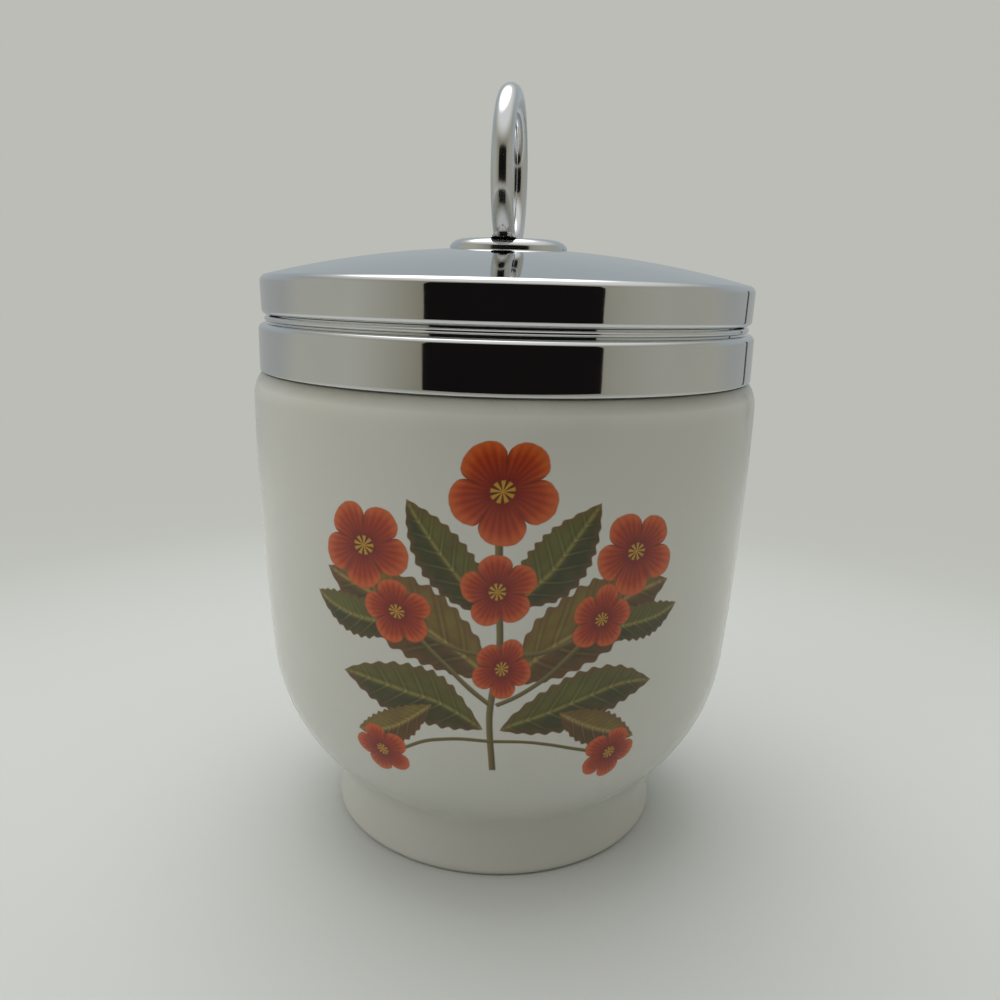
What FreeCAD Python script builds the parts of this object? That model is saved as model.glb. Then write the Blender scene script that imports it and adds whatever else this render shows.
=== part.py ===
import FreeCAD, Part
import math
import os
import Sketcher

# Porcelain egg coddler with a screw-on metal lid and a lifting ring.
# Millimetres, +Z up, origin on the table under the middle of the foot ring.

DOCUMENT = FreeCAD.newDocument("egg_coddler")

# Driving sizes
SIZES = {
    # Porcelain cup, outside
    "body_radius": 35.9,
    "side_radius": 460.0,
    "side_angle": 4.6,
    "belly_radius": 27.0,
    "belly_angle": 46.0,
    "shoulder_radius": 5.2,
    "waist_height": 5.68,
    "waist_rise": 4.172,
    "waist_depth": 1.77,
    "foot_flare": 0.65,
    "foot_edge": 0.9,
    "foot_width": 3.6,
    # Porcelain cup, inside
    "wall": 3.6,
    "base_thickness": 4.2,
    "recess_height": 4.4,
    "recess_inset": 0.7,
    "rim_rise": 6.6,
    "rim_wall": 3.0,
    "rim_round": 1.2,
    "mouth_depth": 8.4,
    # Metal collar and its cement
    "collar_inset": 0.9,
    "collar_lift": 3.5,
    "band_height": 6.3,
    "band_round": 0.85,
    "neck_inset": 2.35,
    "neck_rise": 5.6,
    "sheet_thickness": 0.6,
    "bead_half_height": 0.35,
    "bead_radius": 0.4,
    "bead_lift": 0.6,
    "bead_reach": 1.34,
    "cement_bed": 0.6,
    "cement_joint": 0.2,
    # Screw thread
    "thread_pitch": 2.5,
    "thread_base": 1.0,
    "thread_crest": 0.4,
    "thread_root": 0.1,
    "thread_lift": 1.5,
    "collar_ridge": 0.75,
    "collar_thread_rise": 3.5,
    "lid_ridge": 0.9,
    "lid_thread_rise": 2.1,
    # Lid
    "lid_setback": 0.35,
    "lid_height": 9.72,
    "dome_rise": 4.596,
    "lid_corner": 1.0,
    "skirt_taper": 0.1,
    "skirt_curl": 0.75,
    "lip_width": 0.15,
    "lip_height": 0.5,
    "lid_lift": 1.13,
    # Ring with its flange, washer and nut
    "flange_radius": 8.4,
    "flange_thickness": 1.2,
    "flange_edge": 0.25,
    "flange_bevel": 2.6,
    "ring_radius": 10.1,
    "wire_radius": 1.5,
    "ring_height": 9.0,
    "ring_turn": 6.3,
    "shank_radius": 1.5,
    "shank_rise": 0.25,
    "shank_end": 0.6,
    "washer_radius": 5.0,
    "washer_thickness": 0.8,
    "nut_flats": 6.0,
    "nut_thickness": 2.2,
    # Clearances
    "bore_clearance": 0.05,
    "turning_gap": 0.1,
    "face_gap": 0.1,
    "cement_gap": 0.02,
}

# Places worked out from the driving sizes
PLACES = {
    "side_middle": "Sizes.body_radius - Sizes.side_radius",
    "side_end_radius": "side_middle + Sizes.side_radius * cos(Sizes.side_angle * 1deg)",
    "belly_middle": "side_middle"
                    " + (Sizes.side_radius - Sizes.belly_radius) * cos(Sizes.side_angle * 1deg)",
    "belly_end_radius": "belly_middle + Sizes.belly_radius * cos(Sizes.belly_angle * 1deg)",
    "belly_end": "Sizes.waist_height + Sizes.waist_rise",
    "belly_centre": "belly_end + Sizes.belly_radius * sin(Sizes.belly_angle * 1deg)",
    "widest_height": "belly_centre"
                     " + (Sizes.side_radius - Sizes.belly_radius) * sin(Sizes.side_angle * 1deg)",
    "side_end": "widest_height - Sizes.side_radius * sin(Sizes.side_angle * 1deg)",
    "waist_radius": "belly_end_radius - Sizes.waist_depth",
    "waist_hollow": "(Sizes.waist_depth ^ 2 + Sizes.waist_rise ^ 2) / (2 * Sizes.waist_depth)",
    "foot_radius": "waist_radius + Sizes.foot_flare",
    "foot_hollow": "(Sizes.foot_flare ^ 2 + (Sizes.waist_height - Sizes.foot_edge) ^ 2)"
                   " / (2 * Sizes.foot_flare)",
    "foot_outer_flat": "foot_radius - Sizes.foot_edge",
    "foot_inside": "foot_radius - Sizes.foot_width",
    "foot_inner_flat": "foot_inside + Sizes.foot_edge",
    "recess_radius": "foot_inside - Sizes.recess_inset",
    "floor_height": "Sizes.recess_height + Sizes.base_thickness",
    "inner_belly": "Sizes.belly_radius - Sizes.wall",
    "inner_side": "Sizes.side_radius - Sizes.wall",
    "inner_body": "Sizes.body_radius - Sizes.wall",
    "inner_end_radius": "side_middle + inner_side * cos(Sizes.side_angle * 1deg)",
    "inner_end": "widest_height - inner_side * sin(Sizes.side_angle * 1deg)",
    "floor_radius": "belly_middle + sqrt(inner_belly ^ 2 - (belly_centre - floor_height) ^ 2)",
    "collar_radius": "Sizes.body_radius - Sizes.collar_inset",
    "collar_bottom": "widest_height + Sizes.collar_lift",
    "ledge_height": "collar_bottom - Sizes.cement_joint",
    "ledge_radius": "Sizes.body_radius - Sizes.shoulder_radius"
                    " + sqrt(Sizes.shoulder_radius ^ 2 - (ledge_height - widest_height) ^ 2)",
    "band_inside": "collar_radius - Sizes.sheet_thickness",
    "band_top": "collar_bottom + Sizes.band_height",
    "band_under": "band_top - Sizes.sheet_thickness",
    "band_side_top": "band_top - Sizes.band_round",
    "band_flat_radius": "collar_radius - Sizes.band_round",
    "neck_radius": "collar_radius - Sizes.neck_inset",
    "neck_top": "band_top + Sizes.neck_rise",
    "neck_inside": "neck_radius - Sizes.sheet_thickness",
    "seat_radius": "band_inside - Sizes.cement_bed",
    "seat_top": "band_under - Sizes.cement_bed",
    "rim_radius": "neck_inside - Sizes.cement_bed",
    "rim_height": "band_top + Sizes.rim_rise",
    "rim_side_top": "rim_height - Sizes.rim_round",
    "rim_outer_flat": "rim_radius - Sizes.rim_round",
    "mouth_radius": "rim_radius - Sizes.rim_wall",
    "rim_inner_flat": "mouth_radius + Sizes.rim_round",
    "mouth_bottom": "rim_height - Sizes.mouth_depth",
    "bed_outside": "band_inside - Sizes.cement_gap",
    "bed_seat": "seat_radius + Sizes.cement_gap",
    "bed_neck": "neck_inside - Sizes.cement_gap",
    "bed_rim": "rim_radius + Sizes.cement_gap",
    "bead_height": "band_top + Sizes.bead_lift",
    "bead_low": "bead_height - Sizes.bead_half_height",
    "bead_high": "bead_height + Sizes.bead_half_height",
    "bead_side": "neck_radius + Sizes.bead_reach",
    "collar_thread_start": "band_top + Sizes.thread_lift",
    "collar_thread_root": "neck_radius - Sizes.thread_root",
    "collar_thread_crest": "neck_radius + Sizes.collar_ridge",
    "lid_radius": "collar_radius - Sizes.lid_setback",
    "lid_bottom": "band_top + Sizes.lid_lift",
    "lid_apex": "lid_bottom + Sizes.lid_height",
    "lid_inside": "lid_radius - Sizes.skirt_taper - Sizes.sheet_thickness",
    "dome_radius": "(lid_radius ^ 2 + Sizes.dome_rise ^ 2) / (2 * Sizes.dome_rise)",
    "dome_inside": "dome_radius - Sizes.sheet_thickness",
    "dome_middle": "lid_apex - dome_radius",
    "corner_middle": "lid_radius - Sizes.lid_corner",
    "corner_height": "dome_middle"
                     " + sqrt((dome_radius - Sizes.lid_corner) ^ 2 - corner_middle ^ 2)",
    "dome_edge_radius": "corner_middle * dome_radius / (dome_radius - Sizes.lid_corner)",
    "dome_edge": "dome_middle"
                 " + (corner_height - dome_middle) * dome_radius"
                 " / (dome_radius - Sizes.lid_corner)",
    "lid_inner_top": "dome_middle + sqrt(dome_inside ^ 2 - lid_inside ^ 2)",
    "curl_top": "lid_bottom + Sizes.skirt_curl",
    "curl_side": "lid_radius - Sizes.skirt_taper",
    "curl_radius": "curl_side - Sizes.skirt_curl",
    "lip_radius": "curl_radius - Sizes.lip_width",
    "lip_top": "lid_bottom + Sizes.lip_height",
    "lid_thread_start": "collar_thread_start + Sizes.thread_pitch / 2",
    "lid_thread_root": "lid_inside + Sizes.thread_root",
    "lid_thread_crest": "lid_inside - Sizes.lid_ridge",
    "bore_radius": "Sizes.shank_radius + Sizes.bore_clearance",
    "bore_top": "dome_middle + sqrt(dome_radius ^ 2 - bore_radius ^ 2)",
    "bore_under": "dome_middle + sqrt(dome_inside ^ 2 - bore_radius ^ 2)",
    "flange_seat": "dome_middle + sqrt(dome_radius ^ 2 - Sizes.flange_radius ^ 2)",
    "flange_side_top": "flange_seat + Sizes.flange_edge",
    "flange_flat": "Sizes.flange_radius - Sizes.flange_bevel",
    "flange_top": "lid_apex + Sizes.flange_thickness",
    "ring_centre": "flange_top + Sizes.ring_height",
    "ring_reach": "Sizes.ring_radius + Sizes.wire_radius",
    "shank_top": "flange_top + Sizes.shank_rise",
    "washer_top": "dome_middle + sqrt(dome_inside ^ 2 - Sizes.washer_radius ^ 2) - Sizes.face_gap",
    "washer_bottom": "washer_top - Sizes.washer_thickness",
    "washer_bore": "Sizes.shank_radius + Sizes.turning_gap",
    "nut_top": "washer_bottom - Sizes.face_gap",
    "nut_bottom": "nut_top - Sizes.nut_thickness",
    "nut_corner": "Sizes.nut_flats / sqrt(3)",
    "shank_bottom": "nut_bottom - Sizes.shank_end",
}


def fill_sheet(name, rows, mark):
    """A sheet with one named cell for each row."""
    sheet = DOCUMENT.addObject("Spreadsheet::Sheet", name)
    for line, (alias, content) in enumerate(rows.items(), start=1):
        sheet.set("A%d" % line, alias)
        sheet.set("B%d" % line, mark + str(content))
        sheet.setAlias("B%d" % line, alias)
    DOCUMENT.recompute()
    return sheet


fill_sheet("Sizes", SIZES, "")
PLACE_SHEET = fill_sheet("Places", PLACES, "=")


def name_of(alias):
    """The full name of a size or place, as an expression writes it."""
    return ("Sizes." if alias in SIZES else "Places.") + alias


def value_of(alias):
    """The present value of a size or place, in millimetres."""
    return float(SIZES[alias]) if alias in SIZES else float(PLACE_SHEET.get(alias))


def plane_of(body, role):
    """One of a body's own origin planes."""
    return next(item for item in body.Origin.OriginFeatures if item.Role == role)


def arc_between(start, end, radius, turn):
    """The arc from start to end; turn is 1 to the left and -1 to the right."""
    middle = (start + end) * 0.5
    half = (end - start).Length / 2
    across = FreeCAD.Vector(start.y - end.y, end.x - start.x, 0).normalize()
    centre = middle + across * (turn * math.sqrt(max(radius ** 2 - half ** 2, 0)))
    first, last = (start, end) if turn > 0 else (end, start)
    angles = [math.atan2(point.y - centre.y, point.x - centre.x) for point in (first, last)]
    circle = Part.Circle(centre, FreeCAD.Vector(0, 0, 1), radius)
    return Part.ArcOfCircle(circle, angles[0], angles[1])


def draw_outline(sketch, corners):
    """A closed outline. A corner is (across, up) after a straight side,
    or (across, up, radius, turn) after an arc. None is on the axis or the table."""
    places = [FreeCAD.Vector(*(0 if name is None else value_of(name) for name in corner[:2]), 0)
              for corner in corners]
    ends = []
    for index, corner in enumerate(corners):
        start = places[index - 1]
        end = places[index]
        if len(corner) == 2:
            sketch.addGeometry(Part.LineSegment(start, end), False)
            ends.append((1, 2))
        else:
            sketch.addGeometry(arc_between(start, end, value_of(corner[2]), corner[3]), False)
            ends.append((1, 2) if corner[3] > 0 else (2, 1))
    for index, corner in enumerate(corners):
        following = (index + 1) % len(corners)
        last = ends[index][1]
        sketch.addConstraint(
            Sketcher.Constraint("Coincident", index, last, following, ends[following][0]))
        for kind, name, axis in (("DistanceX", corner[0], -2), ("DistanceY", corner[1], -1)):
            if name is None:
                sketch.addConstraint(Sketcher.Constraint("PointOnObject", index, last, axis))
            else:
                bind(sketch, name, kind, -1, 1, index, last)
        if len(corner) == 4:
            bind(sketch, corner[2], "Radius", index)


def bind(sketch, name, kind, *where):
    """A dimension of a sketch that follows a named size."""
    number = sketch.addConstraint(Sketcher.Constraint(kind, *where, value_of(name)))
    sketch.setExpression("Constraints[%d]" % number, name_of(name))


def new_sketch(body, name, role):
    """A sketch on one of its own body's origin planes."""
    sketch = body.newObject("Sketcher::SketchObject", name)
    sketch.AttachmentSupport = [(plane_of(body, role), "")]
    sketch.MapMode = "FlatFace"
    return sketch


def turned_body(name, corners):
    """A body turned about +Z from a half section."""
    body = DOCUMENT.addObject("PartDesign::Body", name)
    sketch = new_sketch(body, name + "_section", "XZ_Plane")
    draw_outline(sketch, corners)
    turned = body.newObject("PartDesign::Revolution", name + "_turned")
    turned.Profile = sketch
    turned.ReferenceAxis = (sketch, ["V_Axis"])
    turned.Angle = 360
    sketch.Visibility = False
    DOCUMENT.recompute()
    return body


def add_thread(body, name, root, crest, start, rise):
    """A rolled ridge that climbs round +Z by the thread's pitch in each turn."""
    sketch = new_sketch(body, name + "_ridge", "XZ_Plane")
    across = [value_of(root), value_of(crest)]
    half_base = value_of("thread_base") / 2
    half_crest = value_of("thread_crest") / 2
    up = value_of(start)
    points = [FreeCAD.Vector(across[0], up - half_base, 0),
              FreeCAD.Vector(across[1], up - half_crest, 0),
              FreeCAD.Vector(across[1], up + half_crest, 0),
              FreeCAD.Vector(across[0], up + half_base, 0)]
    for index in range(4):
        sketch.addGeometry(Part.LineSegment(points[index], points[(index + 1) % 4]), False)
    for index in range(4):
        sketch.addConstraint(Sketcher.Constraint("Coincident", index, 2, (index + 1) % 4, 1))
    for corner, side, width in ((0, root, "thread_base"), (1, crest, "thread_crest")):
        other = 3 - corner
        bind(sketch, side, "DistanceX", -1, 1, corner, 1)
        bind(sketch, side, "DistanceX", -1, 1, other, 1)
        bind(sketch, width, "DistanceY", corner, 1, other, 1)
        number = sketch.addConstraint(
            Sketcher.Constraint("DistanceY", -1, 1, corner, 1, points[corner].y))
        sketch.setExpression("Constraints[%d]" % number,
                             "%s - %s / 2" % (name_of(start), name_of(width)))
    ridge = body.newObject("PartDesign::AdditiveHelix", name + "_thread")
    ridge.Profile = sketch
    ridge.ReferenceAxis = (sketch, ["V_Axis"])
    ridge.Mode = "pitch-height-angle"
    ridge.setExpression("Pitch", name_of("thread_pitch"))
    ridge.setExpression("Height", name_of(rise))
    ridge.LeftHanded = False
    sketch.Visibility = False
    body.Tip = ridge
    DOCUMENT.recompute()


def cylinder(name, radius, bottom, top):
    """A round bar on the axis between two named heights."""
    bar = DOCUMENT.addObject("Part::Cylinder", name)
    bar.setExpression("Radius", name_of(radius))
    bar.setExpression("Height", "%s - %s" % (name_of(top), name_of(bottom)))
    bar.setExpression("Placement.Base.z", name_of(bottom))
    return bar


# Porcelain cup: one piece with its foot ring, the seat for the collar and a rounded rim
porcelain_cup = turned_body("porcelain_cup", [
    (None, "recess_height"),
    ("recess_radius", "recess_height"),
    ("foot_inside", "foot_edge"),
    ("foot_inner_flat", None, "foot_edge", 1),
    ("foot_outer_flat", None),
    ("foot_radius", "foot_edge", "foot_edge", 1),
    ("waist_radius", "waist_height", "foot_hollow", -1),
    ("belly_end_radius", "belly_end", "waist_hollow", -1),
    ("side_end_radius", "side_end", "belly_radius", 1),
    ("body_radius", "widest_height", "side_radius", 1),
    ("ledge_radius", "ledge_height", "shoulder_radius", 1),
    ("seat_radius", "ledge_height"),
    ("seat_radius", "seat_top"),
    ("rim_radius", "seat_top"),
    ("rim_radius", "rim_side_top"),
    ("rim_outer_flat", "rim_height", "rim_round", 1),
    ("rim_inner_flat", "rim_height"),
    ("mouth_radius", "rim_side_top", "rim_round", 1),
    ("mouth_radius", "mouth_bottom"),
    ("inner_body", "widest_height"),
    ("inner_end_radius", "inner_end", "inner_side", -1),
    ("floor_radius", "floor_height", "inner_belly", -1),
    (None, "floor_height"),
])

# Cement between the porcelain seat and the metal collar
collar_cement = turned_body("collar_cement", [
    ("bed_seat", "ledge_height"),
    ("bed_outside", "ledge_height"),
    ("bed_outside", "band_under"),
    ("bed_neck", "band_under"),
    ("bed_neck", "rim_side_top"),
    ("bed_rim", "rim_side_top"),
    ("bed_rim", "seat_top"),
    ("bed_seat", "seat_top"),
])

# Metal collar: a plain band below, a stop bead and the rolled thread above
threaded_collar = turned_body("threaded_collar", [
    ("band_inside", "collar_bottom"),
    ("collar_radius", "collar_bottom"),
    ("collar_radius", "band_side_top"),
    ("band_flat_radius", "band_top", "band_round", 1),
    ("neck_radius", "band_top"),
    ("neck_radius", "bead_low"),
    ("bead_side", "bead_low"),
    ("bead_side", "bead_high", "bead_radius", 1),
    ("neck_radius", "bead_high"),
    ("neck_radius", "neck_top"),
    ("neck_inside", "neck_top"),
    ("neck_inside", "band_under"),
    ("band_inside", "band_under"),
])
add_thread(threaded_collar, "collar", "collar_thread_root", "collar_thread_crest",
           "collar_thread_start", "collar_thread_rise")

# Lid: a shallow pressed dome and a skirt with a curled edge and the matching thread
lid_cap = turned_body("lid_cap", [
    ("bore_radius", "bore_under"),
    ("lid_inside", "lid_inner_top", "dome_inside", -1),
    ("lid_inside", "curl_top"),
    ("lip_radius", "lip_top"),
    ("lip_radius", "lid_bottom"),
    ("curl_radius", "lid_bottom"),
    ("curl_side", "curl_top", "skirt_curl", 1),
    ("lid_radius", "corner_height"),
    ("dome_edge_radius", "dome_edge", "lid_corner", 1),
    ("bore_radius", "bore_top", "dome_radius", 1),
])
add_thread(lid_cap, "lid", "lid_thread_root", "lid_thread_crest",
           "lid_thread_start", "lid_thread_rise")

# Flange under the ring, hollowed to sit on the dome
ring_flange = turned_body("ring_flange", [
    ("bore_radius", "bore_top"),
    ("flange_radius", "flange_seat", "dome_radius", -1),
    ("flange_radius", "flange_side_top"),
    ("flange_flat", "flange_top"),
    ("bore_radius", "flange_top"),
])

# Washer inside the lid; it turns freely on the shank
inner_washer = turned_body("inner_washer", [
    ("washer_bore", "washer_bottom"),
    ("washer_radius", "washer_bottom"),
    ("washer_radius", "washer_top"),
    ("washer_bore", "washer_top"),
])

# Lifting ring: a round-wire ring cut off level on the flange, with its shank below
ring_wire = DOCUMENT.addObject("Part::Torus", "ring_wire")
ring_wire.setExpression("Radius1", name_of("ring_radius"))
ring_wire.setExpression("Radius2", name_of("wire_radius"))
ring_wire.Placement = FreeCAD.Placement(
    FreeCAD.Vector(0, 0, 0), FreeCAD.Rotation(FreeCAD.Vector(0, 1, 0), 90))
ring_wire.setExpression("Placement.Base.z", name_of("ring_centre"))
ring_room = DOCUMENT.addObject("Part::Box", "ring_room")
for side in ("Length", "Width"):
    ring_room.setExpression(side, "2 * %s" % name_of("ring_reach"))
ring_room.setExpression("Height", "%s + %s" % (name_of("ring_height"), name_of("ring_reach")))
for side in ("x", "y"):
    ring_room.setExpression("Placement.Base.%s" % side, "-%s" % name_of("ring_reach"))
ring_room.setExpression("Placement.Base.z", name_of("flange_top"))
ring_above = DOCUMENT.addObject("Part::Common", "ring_above")
ring_above.Base = ring_wire
ring_above.Tool = ring_room
ring_shank = cylinder("ring_shank", "shank_radius", "shank_bottom", "shank_top")
lifting_ring = DOCUMENT.addObject("Part::Fuse", "lifting_ring")
lifting_ring.Base = ring_above
lifting_ring.Tool = ring_shank
lifting_ring.setExpression("Placement.Rotation.Angle", "-1deg * %s" % name_of("ring_turn"))

# Hexagon nut on the shank, inside the lid
nut_blank = DOCUMENT.addObject("Part::Prism", "nut_blank")
nut_blank.Polygon = 6
nut_blank.setExpression("Circumradius", name_of("nut_corner"))
nut_blank.setExpression("Height", name_of("nut_thickness"))
nut_blank.setExpression("Placement.Base.z", name_of("nut_bottom"))
nut_bore = cylinder("nut_bore", "bore_radius", "nut_bottom", "nut_top")
ring_nut = DOCUMENT.addObject("Part::Cut", "ring_nut")
ring_nut.Base = nut_blank
ring_nut.Tool = nut_bore

PIECES = {
    "porcelain_cup": porcelain_cup,
    "collar_cement": collar_cement,
    "threaded_collar": threaded_collar,
    "lid_cap": lid_cap,
    "ring_flange": ring_flange,
    "lifting_ring": lifting_ring,
    "inner_washer": inner_washer,
    "ring_nut": ring_nut,
}

DOCUMENT.recompute()
for item in DOCUMENT.Objects:
    if "Invalid" in item.State or "Error" in item.State:
        raise RuntimeError("%s has not been built: %s" % (item.Name, item.State))
for node, piece in PIECES.items():
    piece.Label = node
    shape = piece.Shape
    if shape.isNull() or not shape.isValid() or len(shape.Solids) != 1:
        raise RuntimeError("%s is not one sound solid" % node)
    box = shape.optimalBoundingBox()
    print("%-16s %9.1f mm3  z %.2f to %.2f  reach %.2f"
          % (node, shape.Volume, box.ZMin, box.ZMax, max(box.XMax, box.YMax)))

os.makedirs("parts", exist_ok=True)
for node, piece in PIECES.items():
    piece.Shape.exportStep("parts/%s.step" % node)
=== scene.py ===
# %% [markdown]
# The imported model comes first. It holds every piece at its real place and size, in metres,
# so nothing below has to be fitted.

# %% Load the frame
import bpy
import math
from mathutils import Matrix, Vector


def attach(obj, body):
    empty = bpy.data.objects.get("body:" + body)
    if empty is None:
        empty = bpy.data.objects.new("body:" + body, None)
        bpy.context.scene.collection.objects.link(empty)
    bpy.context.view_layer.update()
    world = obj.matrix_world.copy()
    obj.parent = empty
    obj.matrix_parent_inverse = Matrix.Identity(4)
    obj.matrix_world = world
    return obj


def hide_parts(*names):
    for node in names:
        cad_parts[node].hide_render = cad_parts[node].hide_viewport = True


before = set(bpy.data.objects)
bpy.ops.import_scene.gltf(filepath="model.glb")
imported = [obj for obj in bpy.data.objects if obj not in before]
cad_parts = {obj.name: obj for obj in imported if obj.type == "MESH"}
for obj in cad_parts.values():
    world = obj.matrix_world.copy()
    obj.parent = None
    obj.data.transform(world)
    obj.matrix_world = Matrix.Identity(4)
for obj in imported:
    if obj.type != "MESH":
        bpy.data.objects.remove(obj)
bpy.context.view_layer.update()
MM = 0.001
print("nodes:", sorted(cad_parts))

# %% [markdown]
# The camera stands close to the cup and a little above its lid, looking down. Its place and
# lens were solved from the ellipses of the lid, the collar and the foot, and it is rolled by
# a degree and a half, because the photograph leans by about that much.

# %% Camera
CAMERA_PLACE = (0.0, -129.0 * MM, 78.94 * MM)
CAMERA_DOWN = math.radians(13.67)
CAMERA_ROLL = math.radians(1.5)
CAMERA_SIDE = math.radians(0.12)
FOCAL_SHARE = 0.8646
SENSOR = 36.0
NEAREST_SEEN = 5.0 * MM

camera_data = bpy.data.cameras.new("camera")
camera_data.sensor_width = SENSOR
camera_data.lens = FOCAL_SHARE * SENSOR
camera_data.clip_start = NEAREST_SEEN
camera = bpy.data.objects.new("camera", camera_data)
bpy.context.scene.collection.objects.link(camera)
camera.matrix_world = (
    Matrix.Translation(CAMERA_PLACE)
    @ Matrix.Rotation(CAMERA_SIDE, 4, "Z")
    @ Matrix.Rotation(math.pi / 2 - CAMERA_DOWN, 4, "X")
    @ Matrix.Rotation(CAMERA_ROLL, 4, "Z")
)
bpy.context.scene.camera = camera
bpy.context.scene.view_settings.view_transform = "Standard"
print("lens", round(camera_data.lens, 2), "mm")

# %% [markdown]
# Shader maths is easier to read as sums than as a web of nodes. A Wire is one value on its
# way between nodes, and the usual signs between two of them add the Math node. A Paint is
# one material or sky, and its node method adds any other kind of node.

# %% Helpers for shaders
class Wire:
    """One output of a shader node, with the signs of arithmetic."""

    def __init__(self, paint, socket):
        self.paint = paint
        self.socket = socket

    def maths(self, kind, *others):
        return self.paint.node("Math", {"operation": kind}, [self, *others])

    def __add__(self, other):
        return self.maths("ADD", other)

    def __sub__(self, other):
        return self.maths("SUBTRACT", other)

    def __mul__(self, other):
        return self.maths("MULTIPLY", other)

    def __truediv__(self, other):
        return self.maths("DIVIDE", other)

    def __pow__(self, other):
        return self.maths("POWER", other)

    def __abs__(self):
        return self.maths("ABSOLUTE")

    def __neg__(self):
        return self.maths("MULTIPLY", -1.0)

    def __rsub__(self, other):
        return self.paint.node("Math", {"operation": "SUBTRACT"}, [other, self])

    def clamped(self):
        return self.paint.node("Clamp", {}, [self, 0.0, 1.0])

    def eased(self):
        """A share from 0 to 1 that starts and ends gently."""
        return self * self * (3.0 - self * 2.0)

    __radd__ = __add__
    __rmul__ = __mul__


class Paint:
    """The node tree of a material or of the sky."""

    def __init__(self, owner):
        owner.use_nodes = True
        self.tree = owner.node_tree
        self.tree.nodes.clear()

    def node(self, kind, settings, sockets, out=0):
        made = self.tree.nodes.new("ShaderNode" + kind)
        for name, setting in settings.items():
            setattr(made, name, setting)
        pairs = sockets.items() if isinstance(sockets, dict) else enumerate(sockets)
        for key, content in pairs:
            if isinstance(content, Wire):
                self.tree.links.new(content.socket, made.inputs[key])
            elif content is not None:
                made.inputs[key].default_value = content
        return Wire(self, made.outputs[out]) if len(made.outputs) else None

    def mixed(self, share, first, second):
        """A colour between two colours."""
        return self.node("Mix", {"data_type": "RGBA"}, {0: share, 6: first, 7: second}, 2)

    def place(self):
        """Where a point lies on the object, as three wires in millimetres."""
        spot = self.node("TexCoord", {}, {}, "Object")
        return [self.node("SeparateXYZ", {}, [spot], axis) * 1000.0 for axis in range(3)]

    def noise(self, size, detail):
        """Soft random variation, with its size in millimetres."""
        spot = self.node("TexCoord", {}, {}, "Object")
        return self.node("TexNoise", {}, {
            "Vector": spot, "Scale": 1000.0 / size, "Detail": detail}, "Fac")


def colour(red, green, blue):
    """A display colour from 0 to 255, as the linear colour that a shader wants."""
    def linear(level):
        level = level / 255.0
        return level / 12.92 if level <= 0.04045 else ((level + 0.055) / 1.055) ** 2.4
    return (linear(red), linear(green), linear(blue), 1.0)


def new_material(name):
    """A named material, and the Paint that fills its node tree."""
    material = bpy.data.materials.new(name)
    return material, Paint(material)


def bump(paint, height, distance):
    """A surface direction tilted by a height that runs up to a distance, in metres."""
    return paint.node("Bump", {}, {"Strength": 1.0, "Distance": distance, "Height": height})


# %% [markdown]
# Plated metal is all reflection. Its own colour is a cool light grey, and what makes it look
# real is a faint unevenness: rolled and pressed sheet is never quite true, so straight
# reflections waver a little, and polishing leaves haze that changes from place to place. The
# ring is what the hand takes hold of, so it is hazier and less even than the sheet.

# %% Plated metal
PLATE_TINTS = (colour(208, 210, 212), colour(216, 217, 217))
CLOUD_SIZE, GRAIN_SIZE, WAVE_SIZE, DENT_SIZE = 9.0, 0.5, 14.0, 1.6


def plated_metal(name, haze, waver):
    """Polished plate: the haze is its roughness, the waver the height of its waves."""
    material, paint = new_material(name)
    cloud = paint.noise(CLOUD_SIZE, 3.0)
    grain = paint.noise(GRAIN_SIZE, 2.0)
    tone = paint.mixed((cloud * 1.4 - 0.2).clamped(), *PLATE_TINTS)
    rough = (haze + (cloud - 0.5) * haze * 0.8 + (grain - 0.5) * haze * 0.5).clamped()
    waves = paint.noise(WAVE_SIZE, 1.0) + paint.noise(DENT_SIZE, 2.0) * 0.06
    uneven = bump(paint, waves + grain * 0.003, waver)
    surface = paint.node("BsdfPrincipled", {}, {
        "Base Color": tone, "Metallic": 1.0, "Roughness": rough, "Normal": uneven})
    paint.node("OutputMaterial", {}, [surface])
    return material


lid_plate = plated_metal("lid_plate", 0.045, 0.02 * MM)
collar_plate = plated_metal("collar_plate", 0.05, 0.02 * MM)
ring_plate = plated_metal("ring_plate", 0.13, 0.06 * MM)
print("plated:", lid_plate.name, collar_plate.name, ring_plate.name)

# %% [markdown]
# The washer and the nut inside the lid are plain turned metal, duller than the plate. Fine
# rings from the lathe run round them.

# %% Turned metal
TURNED_DARK, TURNED_LIGHT = colour(176, 168, 140), colour(202, 194, 168)
LATHE_TURNS = 40.0


def turned_metal():
    material, paint = new_material("turned_metal")
    across, along, up = paint.place()
    from_axis = (across * across + along * along) ** 0.5
    rings = (from_axis * LATHE_TURNS).maths("SINE")
    cloud = paint.noise(3.0, 3.0)
    tone = paint.mixed(cloud, TURNED_DARK, TURNED_LIGHT)
    surface = paint.node("BsdfPrincipled", {}, {
        "Base Color": tone, "Metallic": 1.0, "Roughness": (0.28 + cloud * 0.14).clamped(),
        "Normal": bump(paint, rings, 0.004 * MM)})
    paint.node("OutputMaterial", {}, [surface])
    return material


turned_finish = turned_metal()
print("turned:", turned_finish.name)

# %% [markdown]
# The cement that holds the collar is a dry grey paste with grit in it. Only its lower edge
# and its top can be seen, so grain and a rough surface are enough.

# %% Cement
CEMENT_DARK, CEMENT_LIGHT = colour(150, 147, 138), colour(184, 180, 168)


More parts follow.
